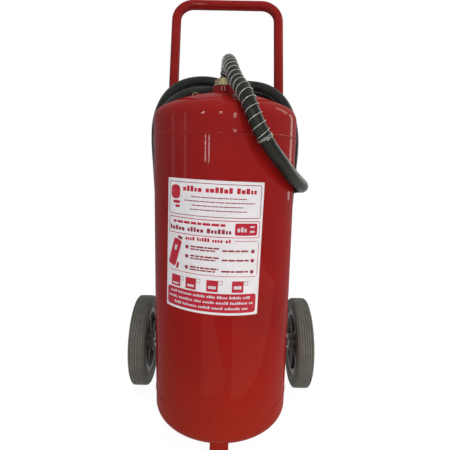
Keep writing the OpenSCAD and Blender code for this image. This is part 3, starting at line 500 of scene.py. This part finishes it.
# %% Turn the tank
APEX, FOOT = 0.812015, 0.018  # the tank's highest and lowest points
CROWN_R, KNUCKLE_R = 0.320, 0.032
BEAD_R, BEAD_SUNK, BEAD_TURN = 0.004, 0.0024, 48  # a weld bead is an arc, sunk into the side
SIDE_FROM, SIDE_STEP, SIDE_RINGS = 0.13, 0.03, 20


def head(top):
    """Outline of a pressed head from its apex down to the side."""
    inner = TANK_R - KNUCKLE_R
    drop = CROWN_R - math.sqrt((CROWN_R - KNUCKLE_R) ** 2 - inner ** 2)
    lean = math.degrees(math.asin(inner / (CROWN_R - KNUCKLE_R)))
    crown_part = arc((0, -CROWN_R), CROWN_R, 90, 90 - lean, 26)
    knuckle_part = arc((inner, -drop), KNUCKLE_R, 90 - lean, 0, 14)[1:]
    return [(r, top + z) for r, z in crown_part + knuckle_part]


def bead(z, sunk=0.0):
    """Outline of a weld bead, upwards."""
    bulge = arc((0, 0), BEAD_R, -BEAD_TURN, BEAD_TURN, 8)
    return [(TANK_R - BEAD_SUNK - sunk + r, z + h) for r, h in bulge]


upper_head = head(APEX)
lower_head = [(r, FOOT - (z - APEX)) for r, z in upper_head]
side = [(TANK_R, 0.095), (TANK_R, 0.105)] + bead(SEAMS[0], 0.0006)
side += [(TANK_R, SIDE_FROM + SIDE_STEP * i) for i in range(SIDE_RINGS)]
side += bead(SEAMS[1]) + [(TANK_R, 0.725), (TANK_R, 0.738)]
bm = bmesh.new()
lathe(bm, lower_head + side + upper_head[::-1], to_tank, 180)
piece("tank", bm, [TANK_PAINT], stands_for=["tank_shell", "top_head", "bottom_head"])

# %% Weld bead round the neck
NECK_R, NECK_BEAD_AT, NECK_BEAD_R = 0.031, 0.0312, 0.0028
neck_foot = APEX - CROWN_R + math.sqrt(CROWN_R ** 2 - NECK_R * NECK_R)
ring = arc((NECK_BEAD_AT, neck_foot + 0.0004), NECK_BEAD_R, -90, 270, 16)
bm = bmesh.new()
lathe(bm, ring, to_tank, 72)
piece("neck_weld", bm, [TANK_PAINT])

# %% [markdown]
# ## The handle
# One length of tube is bent four times: its legs stand up from the axle, lean
# back above the tank, and turn into the top bar. The sweep follows the same
# straight runs and arcs as the solid.

# %% Bend the handle's tube
HANDLE_R = 0.013
LEG_X, LEG_Y, LEG_LOW, LEG_HIGH = 0.143, 0.195, 0.130, 0.60
KINK_Z, KINK_R, LEAN_BACK = 0.860, 0.110, 18  # where and how far the legs lean back
RISE, CORNER_R, CORNER_X = 0.240, 0.048, 0.095  # top bar above the kink, and its corners


def handle_half():
    """The right half of the handle's middle line, from the axle up."""
    points = [Vector((LEG_X, LEG_Y, LEG_LOW)), Vector((LEG_X, LEG_Y, LEG_HIGH))]
    lean = math.radians(LEAN_BACK)
    kink_low = KINK_Z - KINK_R * math.tan(lean / 2)
    for i in range(13):
        a = lean * i / 12
        back, up = KINK_R * (1 - math.cos(a)), KINK_R * math.sin(a)
        points.append(Vector((LEG_X, LEG_Y + back, kink_low + up)))
    length = RISE / math.cos(lean)
    for i in range(15):
        b = math.radians(90 * i / 14)
        along = length - CORNER_R + CORNER_R * math.sin(b)
        points.append(Vector((CORNER_X + CORNER_R * math.cos(b), LEG_Y + along * math.sin(lean),
                              KINK_Z + along * math.cos(lean))))
    return points


half = handle_half()
handle_line = half + [Vector((-p.x, p.y, p.z)) for p in reversed(half)]
handle_line = [p + Vector((0, TANK_Y, 0)) for p in handle_line]
bm = bmesh.new()
sweep(bm, handle_line, HANDLE_R, 32)
piece("handle_tube", bm, [FRAME_PAINT], stands_for=["handle_frame"], sharp=50)

# %% [markdown]
# ## The tyres
# The tyres are solid grey rubber, moulded with flat ribs and grooves round the
# tread and two raised rings on each side. The outline holds every rib, and one
# spin makes the tyre. The grooves are painted darker as shade, so the rubber's
# colour follows the same pitch across the tread.

# %% Dusty tyre rubber with painted shade in the grooves
RIB_PITCH, TREAD_X = 0.0066, 0.2305  # from rib to rib, and from the machine's middle
tread = Finish("tyre_rubber", specular=0.35)
grime = tread.noise(34, 5, 0.65)
worn = tread.noise(180, 3, 0.6)
tyre_colour = tread.mix(tread.span(grime, 0.35, 0.7), (0.100, 0.098, 0.080), (0.155, 0.152, 0.126))
tyre_colour = tread.mix(tread.span(worn, 0.5, 0.8, 0, 0.25), tyre_colour, (0.24, 0.235, 0.21))
# Painted shade: the grooves between the ribs are darkened in the rubber's colour.
axes = tread.node("ShaderNodeSeparateXYZ")
tread.join(tread.place, axes.inputs[0])
across = tread.math("SUBTRACT", tread.math("ABSOLUTE", axes.outputs["X"]), TREAD_X)
wave = tread.math("COSINE", tread.math("MULTIPLY", across, math.pi / RIB_PITCH))
rib = tread.math("ABSOLUTE", wave)
tyre_colour = tread.mix(tread.span(rib, 0.1, 0.55, 0.7, 0), tyre_colour, (0.03, 0.03, 0.026))
TYRE = tread.done(tyre_colour, tread.span(grime, 0, 1, 0.62, 0.85), tread.bump(worn, 0.25, 0.0006))


# %% Turn the tyres
WALL_W, RING_W, SIDE_RING_RADII = 0.0230, 0.02345, (0.104, 0.114)
SHOULDER_W, SHOULDER_AT, SHOULDER_R = 0.0145, 0.121, 0.0088
TREAD_R, GROOVE, TREAD_CURVE = 0.1298, 0.0018, 90


def tyre_outline():
    """Half the tyre's section, from the rim's lip to the middle of the tread, as (radius, width)."""
    side = [(0.0882, 0.0135), (0.0955, 0.0138), (0.0956, 0.0194), (0.0962, 0.0212),
            (0.0985, 0.0227)]
    for ring in SIDE_RING_RADII:
        side += [(ring - 0.0016, WALL_W), (ring - 0.0008, RING_W),
                 (ring + 0.0008, RING_W), (ring + 0.0016, WALL_W)]
    side += [(r, w) for w, r in arc((SHOULDER_W, SHOULDER_AT), SHOULDER_R, 0, 62, 7)]
    for k in (2.5, 1.5, 0.5):
        width = RIB_PITCH * k
        top = TREAD_R - max(0, width - SHOULDER_W) ** 2 * TREAD_CURVE
        side += [(top, width + 0.0019), (top, width + 0.0009), (top - GROOVE, width + 0.0006),
                 (top - GROOVE, width - 0.0006), (top, width - 0.0009)]
    return side


half_tyre = tyre_outline()
tyre_section = half_tyre + [(r, -w) for r, w in reversed(half_tyre)]
tyre_section.append(tyre_section[0])
for name in ("left", "right"):
    low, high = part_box("tyre_" + name)
    middle = Matrix.Translation(((low.x + high.x) / 2, AXLE_Y, AXLE_Z))
    bm = bmesh.new()
    lathe(bm, tyre_section, middle @ Matrix.Rotation(math.radians(90), 4, "Y"), 144)
    piece("tyre_" + name + "_rubber", bm, [TYRE], "wheel_" + name, ["tyre_" + name],
          sharp=50)

# %% [markdown]
# ## The label
# A printed vinyl label is stuck on the front, turned a little. Its red frames,
# bars and blocks stand where instructions would be. They are drawn flat with
# bmesh squares whose corners are bevelled, cut into narrow strips, and then
# wrapped round the tank, each layer of ink a hair above the one below.

# %% Label vinyl and inks
vinyl = Finish("label_vinyl", coat=0.3, coat_roughness=0.12, specular=0.4)
stain = vinyl.noise(30, 5, 0.6)
vinyl_colour = vinyl.mix(vinyl.span(stain, 0.4, 0.75, 0, 0.5), (0.72, 0.70, 0.72), (0.60, 0.57, 0.59))
vinyl_rough = vinyl.span(stain, 0.3, 0.7, 0.28, 0.42)
VINYL = vinyl.done(vinyl_colour, vinyl_rough, vinyl.bump(vinyl.noise(60, 2), 0.05, 0.001))


def ink(name, colour, faded):
    """Printing ink that has faded in patches."""
    f = Finish(name, coat=0.15, coat_roughness=0.12, specular=0.1)
    patch = f.noise(220, 3, 0.6)
    return f.done(f.mix(f.span(patch, 0.35, 0.75), colour, faded), 0.36)


RED_INK = ink("label_red_ink", (0.42, 0.008, 0.026), (0.44, 0.018, 0.04))
DARK_INK = ink("label_dark_ink", (0.22, 0.015, 0.03), (0.30, 0.05, 0.06))
PALE_INK = ink("label_pale_ink", (0.62, 0.60, 0.63), (0.52, 0.46, 0.49))
LABEL_FINISHES = [VINYL, RED_INK, DARK_INK, PALE_INK]
BARE, RED, DARK, PALE = range(4)
LABEL_W, LABEL_H = 209, 271
INK_STEP = 6e-5  # metres from one layer of ink to the next


# %% Draw on the flat label
def block(bm, x0, y0, x1, y1, layer, material, corner=0.0, segments=4):
    """A filled block, x to the right and y down from the label's corner, in millimetres."""
    place = (Matrix.Translation(((x0 + x1) / 2000, -(y0 + y1) / 2000, layer * INK_STEP))
             @ Matrix.Diagonal(((x1 - x0) / 1000, (y1 - y0) / 1000, 1, 1)))
    made = bmesh.ops.create_grid(bm, x_segments=1, y_segments=1, size=0.5, matrix=place)["verts"]
    face = made[0].link_faces[0]
    if corner:
        out = bmesh.ops.bevel(bm, geom=made, offset=corner / 1000, offset_type="OFFSET",
                              affect="VERTICES", segments=segments, profile=0.5, material=-1)
        near = set(out["faces"]) | {f for v in out["verts"] for f in v.link_faces}
        face = max(near, key=lambda f: f.calc_area())
    face.material_index = material
    return face


def outline_box(bm, x0, y0, x1, y1, line, material, corner=4.0, layer=1):
    """An empty frame with round corners: a filled block with a block of bare vinyl on it."""
    block(bm, x0, y0, x1, y1, layer - 0.6, material, corner, 5)
    block(bm, x0 + line, y0 + line, x1 - line, y1 - line, layer - 0.3, BARE,
          max(corner - line, 0.2), 5)


def heading(bm, x0, x1, y, height, material, seed, layer=1):
    """A row of small upright blocks of uneven height, where a bold line would be."""
    chance = random.Random(seed)
    x, left = x0, 0
    while x < x1 - 2:
        left = left or chance.randint(4, 8)
        wide = height * chance.uniform(0.45, 0.75)
        tall = height * chance.choice((0.72, 0.72, 1))
        block(bm, x, y + height - tall, min(x1, x + wide), y + height, layer, material, 0.8, 2)
        left -= 1
        x += wide + height * (0.18 if left else 0.75)


def words(bm, x0, x1, y, height, material, seed, longest):
    """A row of short bars of uneven length, where a line of small print would be."""
    chance = random.Random(seed)
    x = x0
    while x < x1 - 1.5:
        end = min(x1, x + chance.uniform(0.35, 1) * longest)
        block(bm, x, y, end, y + height, 1, material, min(0.35, height / 3), 1)
        x = end + max(0.9, height * 0.45)


# %% Lay out the label's upper half
bm = bmesh.new()
block(bm, 0, 0, LABEL_W, LABEL_H, 0, BARE, 2.0)
outline_box(bm, 5, 6, 203.5, 72, 1.4, DARK)
block(bm, 10, 13, 34, 41, 1, RED, 9)
block(bm, 16, 44, 34, 50, 1, RED, 2)
block(bm, 22, 53, 34, 58, 1, RED, 2)
heading(bm, 41, 192, 13, 11, RED, 3)
for k, (a, b) in enumerate([(60, 172), (44, 190), (62, 166), (58, 174)]):
    words(bm, a, b, 33 + 8.3 * k, 2.0, DARK, 10 + k, 14)
outline_box(bm, 5, 77, 203.5, 111, 1.5, RED)
words(bm, 18, 132, 84, 5, RED, 21, 18)
heading(bm, 9, 144, 94.5, 9.5, DARK, 22)
block(bm, 151, 81.5, 198, 106, 1, RED, 4)
heading(bm, 156, 178, 89, 10, PALE, 8, 2)
block(bm, 182, 87, 192, 90, 2, PALE, 0.8)
block(bm, 182, 96, 192, 100, 2, PALE, 0.8)
heading(bm, 50, 144, 114, 7.5, RED, 31)
print("upper half", len(bm.faces), "faces")

# %% Lay out its lower half
block(bm, 152, 116.5, 200, 117.7, 1, RED)
block(bm, 202.3, 120, 203.5, 186, 1, RED)
block(bm, 12, 189, 200, 190.2, 1, RED)
for k, y in enumerate((132, 151, 174)):
    block(bm, 50, y, 58, y + 8, 1, DARK, 3.6)
    words(bm, 62, 122, y, 3.4, DARK, 40 + k, 17)
    words(bm, 62, 116, y + 5.6, 3.0, DARK, 50 + k, 15)
    block(bm, 187, y + 2, 195, y + 10, 1, DARK, 3.6)
    words(bm, 128, 183, y + 3.6, 3.6, DARK, 60 + k, 18)
for k, x in enumerate((16, 53, 99, 151)):
    block(bm, x, 199, x + 24, 223, 1, RED, 1)
    outline_box(bm, x + 25, 199, x + 33, 208, 0.8, DARK, 0.5)
    block(bm, x + 4, 215 - 2 * k, x + 20, 219 - k, 2, PALE, 1.5)
block(bm, 4, 226, 203.5, 266, 1, RED, 6)
for k, (a, b) in enumerate([(14, 194), (9, 198), (26, 186)]):
    heading(bm, a, b, 231 + 11.5 * k, 5.5, PALE, 70 + k, 2)
print("both halves", len(bm.faces), "faces")

# %% Draw the small cylinder sign
SIGN_AT, SIGN_LEAN = (0.024, -0.151, 0), -17
sign = [block(bm, -11, -29, 10, 30, 1, RED, 5), block(bm, -3, -37, 9, -31, 1, DARK, 1),
        block(bm, 12, 17, 18, 31, 1, RED, 2), block(bm, -4, -16, 2, -4, 2, PALE, 2)]
turned = Matrix.Translation(SIGN_AT) @ Matrix.Rotation(math.radians(SIGN_LEAN), 4, "Z")
bmesh.ops.transform(bm, matrix=turned, verts=list({v for face in sign for v in face.verts}))
print("label faces", len(bm.faces))

# %% Cut the label into strips and wrap it
STRIP = 0.0035
LABEL_LEAN, LABEL_ASIDE, LABEL_Z, LABEL_LIFT = -1.75, 0.02395, 0.4904, 0.00014
for i in range(1, round(LABEL_W / 1000 / STRIP)):
    geometry = bm.verts[:] + bm.edges[:] + bm.faces[:]
    bmesh.ops.bisect_plane(bm, geom=geometry, dist=1e-7, plane_co=(STRIP * i, 0, 0),
                           plane_no=(1, 0, 0))
lean = math.radians(LABEL_LEAN)
for v in bm.verts:
    x, y = v.co.x - LABEL_W / 2000, v.co.y + LABEL_H / 2000
    across = x * math.cos(lean) - y * math.sin(lean) - LABEL_ASIDE
    up = x * math.sin(lean) + y * math.cos(lean) + LABEL_Z
    radius = TANK_R + LABEL_LIFT + v.co.z
    angle = across / TANK_R
    v.co = (radius * math.sin(angle), TANK_Y - radius * math.cos(angle), up)
piece("label", bm, LABEL_FINISHES, sharp=180)

# %% [markdown]
# ## Metal and plastic finishes
# The small parts keep the solids' own shapes and only need the right finish:
# worn brass, zinc plate, copper, dark moulded plastic, and black enamel on the
# gas bottle.

# %% Brass, zinc and copper
def metal(name, clean, dull, rough_low, rough_high, metallic=1.0, grain=120):
    """Bare or plated metal, stained in patches."""
    f = Finish(name, metallic=metallic)
    stain = f.noise(grain, 5, 0.65)
    fine = f.noise(grain * 6, 2, 0.5)
    colour = f.mix(f.span(stain, 0.35, 0.7), clean, dull)
    rough = f.span(stain, 0.3, 0.75, rough_low, rough_high)
    return f.done(colour, rough, f.bump(fine, 0.15, 0.0002))


BRASS = metal("worn_brass", (0.24, 0.20, 0.10), (0.13, 0.12, 0.07), 0.35, 0.6, 0.8)
ZINC = metal("zinc_plate", (0.60, 0.60, 0.58), (0.40, 0.41, 0.41), 0.3, 0.5)
COPPER = metal("copper_pipe", (0.60, 0.32, 0.20), (0.30, 0.15, 0.09), 0.3, 0.5)


# %% Plastics, seal rubber and bottle enamel
def moulded(name, colour, light, rough, grain=300, coat=0.0):
    """Plastic, rubber or plain enamel with paler rubbed marks."""
    f = Finish(name, specular=0.4, coat=coat)
    spots = f.noise(grain, 3, 0.6)
    marks = f.noise(28, 5, 0.65)
    return f.done(f.mix(f.span(marks, 0.45, 0.75, 0, 0.7), colour, light),
                  f.span(marks, 0.3, 0.7, rough, rough + 0.2), f.bump(spots, 0.25, 0.0003))


RIM_PLASTIC = moulded("rim_plastic", (0.075, 0.070, 0.066), (0.15, 0.14, 0.13), 0.45)
GUN_PLASTIC = moulded("gun_plastic", (0.02, 0.02, 0.02), (0.06, 0.06, 0.058), 0.38)
BUSH_PLASTIC = moulded("bush_plastic", (0.62, 0.58, 0.48), (0.45, 0.42, 0.35), 0.45)
SEAL = moulded("seal_rubber", (0.02, 0.02, 0.02), (0.05, 0.05, 0.05), 0.6)
BOTTLE = moulded("bottle_enamel", (0.045, 0.047, 0.05), (0.10, 0.10, 0.10), 0.25, 180, 0.4)

# %% Give every solid its finish
by_slot = {
    "red_paint": FRAME_PAINT, "brass": BRASS, "seal_rubber": SEAL, "hose_rubber": HOSE_RUBBER,
    "guard_wire": WIRE, "zinc": ZINC, "bottle_paint": BOTTLE, "rim_plastic": RIM_PLASTIC,
    "bush_plastic": BUSH_PLASTIC, "tyre_rubber": TYRE, "gun_metal": GUN_PLASTIC,
    "black_plastic": GUN_PLASTIC,
}
slot_of = {s["node"]: s["material_slot"] for s in frame["record"]["subparts"]}
for name, obj in nodes.items():
    finish = by_slot[slot_of[name]]
    if name == "gas_pipe":
        finish = COPPER
    if name.startswith("relief"):
        finish = BRASS
    if name in ("filler_neck", "outlet_boss", "gas_inlet", "front_foot"):
        finish = TANK_PAINT
    obj.data.materials.clear()
    obj.data.materials.append(finish)
print("finishes given to", len(nodes), "solids")

# %% [markdown]
# ## Floor and world
# The floor and the wall behind are white. Light Path lets the camera, and
# mirrors and glass, see plain white there, while the floor still takes the
# machine's shadow. For all other light the room is a dim grey.

# %% White floor
def seen_plainly(tree):
    """1 for a ray from the camera, a mirror or glass, and 0 for any other."""
    path = tree.nodes.new("ShaderNodeLightPath")
    seen = path.outputs["Is Camera Ray"]
    for other in ("Is Glossy Ray", "Is Transmission Ray"):
        either = tree.nodes.new("ShaderNodeMath")
        either.operation = "MAXIMUM"
        tree.links.new(seen, either.inputs[0])
        tree.links.new(path.outputs[other], either.inputs[1])
        seen = either.outputs[0]
    return seen


GLOW, GLOW_SHARE, FLOOR_HALF = 1.22, 0.75, 6
floor = Finish("floor_white", specular=0.1)
FLOOR = floor.done(floor.mix(floor.noise(3, 3), (0.83, 0.83, 0.83), (0.86, 0.86, 0.86)), 0.8)
glow = floor.node("ShaderNodeEmission")
glow.inputs["Strength"].default_value = GLOW
blend = floor.node("ShaderNodeMixShader")
floor.join(floor.math("MULTIPLY", seen_plainly(floor.tree), GLOW_SHARE), blend.inputs["Fac"])
floor.join(floor.shader.outputs[0], blend.inputs[1])
floor.join(glow.outputs[0], blend.inputs[2])
output = next(n for n in floor.tree.nodes if n.type == "OUTPUT_MATERIAL")
floor.join(blend.outputs[0], output.inputs["Surface"])
bm = bmesh.new()
bmesh.ops.create_grid(bm, x_segments=8, y_segments=8, size=FLOOR_HALF)
floor_mesh = bpy.data.meshes.new("floor")
bm.to_mesh(floor_mesh)
bm.free()
floor_mesh.materials.append(FLOOR)
floor_obj = bpy.data.objects.new("floor", floor_mesh)
bpy.context.scene.collection.objects.link(floor_obj)
print("floor", len(floor_mesh.polygons), "faces")

# %% White world
ROOM_COLOUR, ROOM_STRENGTH = (0.62, 0.64, 0.68, 1), 0.55
world = bpy.data.worlds.new("white_room")
bpy.context.scene.world = world
world.use_nodes = True
tree = world.node_tree
tree.nodes.clear()
seen = tree.nodes.new("ShaderNodeBackground")
seen.inputs["Color"].default_value = (1, 1, 1, 1)
room = tree.nodes.new("ShaderNodeBackground")
room.inputs["Color"].default_value = ROOM_COLOUR
room.inputs["Strength"].default_value = ROOM_STRENGTH
choose = tree.nodes.new("ShaderNodeMixShader")
end = tree.nodes.new("ShaderNodeOutputWorld")
tree.links.new(seen_plainly(tree), choose.inputs["Fac"])
tree.links.new(room.outputs[0], choose.inputs[1])
tree.links.new(seen.outputs[0], choose.inputs[2])
tree.links.new(choose.outputs[0], end.inputs["Surface"])
print("world", world.name, len(tree.nodes), "nodes")

# %% [markdown]
# ## Light
# Four soft panels light the machine evenly. They are kept out of its gloss,
# because a large lamp would lie on the round tank as a broad pale stripe. The
# highlights come from lamps that only the gloss shows: two at the right for the
# edge of the tank and of its dome, three like the lamps of a hall, four narrow
# strips like windows, and two lit patches of floor.

# %% Soft panels
def panel(name, place, aim, wide, high, power, colour=(1, 1, 1)):
    """A flat lamp at a place, turned towards a point."""
    data = bpy.data.lights.new(name, "AREA")
    data.shape = "RECTANGLE"
    data.size, data.size_y = wide, high
    data.energy = power
    data.color = colour
    lamp = bpy.data.objects.new(name, data)
    bpy.context.scene.collection.objects.link(lamp)
    lamp.location = place
    lamp.rotation_euler = (Vector(aim) - Vector(place)).to_track_quat("-Z", "Y").to_euler()
    return lamp


soft = [panel("front_panel", (0.4, -2.2, 1.5), (0, 0, 0.4), 1.3, 1.0, 21),
        panel("low_panel", (0.6, -1.5, 0.3), (0, 0, 0.15), 1.4, 0.3, 3.6, (1, 0.86, 0.72)),
        panel("top_panel", (0.2, -0.4, 2.5), (0, 0, 0.5), 1.4, 0.8, 18),
        panel("right_panel", (1.5, 0.25, 0.75), (0, 0, 0.6), 0.25, 1.6, 7, (0.9, 0.95, 1))]
for lamp in soft:
    lamp.visible_glossy = False
print("soft panels", len(soft))

# %% Lamps for the gloss alone
HALL_LAMPS = (((-1.39, -2.22, 1.45), 14), ((-0.27, -2.62, 1.46), 11), ((0.64, -2.61, 1.30), 8))
WINDOW_STRIPS = (((-1.28, -2.47, 0.77), 0.06, 0.2, 2), ((-1.0, -2.47, 0.77), 0.06, 0.2, 2),
                 ((-2.31, -1.35, 0.77), 0.18, 1.1, 2), ((-2.60, -0.33, 0.77), 0.25, 1.1, 1.6))
upper_tank, middle_tank = (0, 0, 0.7), (0, 0, 0.6)
glints = [panel("rim_glint", (2.05, 1.40, 1.0), upper_tank, 0.35, 1.3, 14, (1, 0.93, 0.82)),
          panel("dome_glint", (1.90, 0.90, 2.1), (0, 0, 0.75), 0.5, 0.9, 11, (1, 0.96, 0.82))]
glints += [panel(f"hall_lamp_{k}", place, upper_tank, 0.2, 0.45, power)
           for k, (place, power) in enumerate(HALL_LAMPS)]
glints += [panel(f"window_strip_{k}", place, middle_tank, wide, high, power)
           for k, (place, wide, high, power) in enumerate(WINDOW_STRIPS)]
for lamp in glints:
    lamp.visible_diffuse = False
print("lamps for the gloss", len(glints))

# %% Lit patches of floor
FLOOR_PATCHES = ((-0.56, -1.30, -121, 0.3, 2.2), (1.08, -1.13, -72, 1.4, 12))
PATCH_Z, PATCH_LONG, PATCH_COLOUR = 0.003, 2.0, (1, 0.80, 0.55)
for k, (x, y, bearing, wide, power) in enumerate(FLOOR_PATCHES):
    patch = panel(f"floor_patch_{k}", (x, TANK_Y + y, PATCH_Z), (0, 0, 1), wide, PATCH_LONG, power,
                  PATCH_COLOUR)
    patch.rotation_euler = (math.pi, 0, math.radians(bearing + 90))
    patch.visible_diffuse = patch.visible_camera = False
print("floor patches", len(FLOOR_PATCHES))
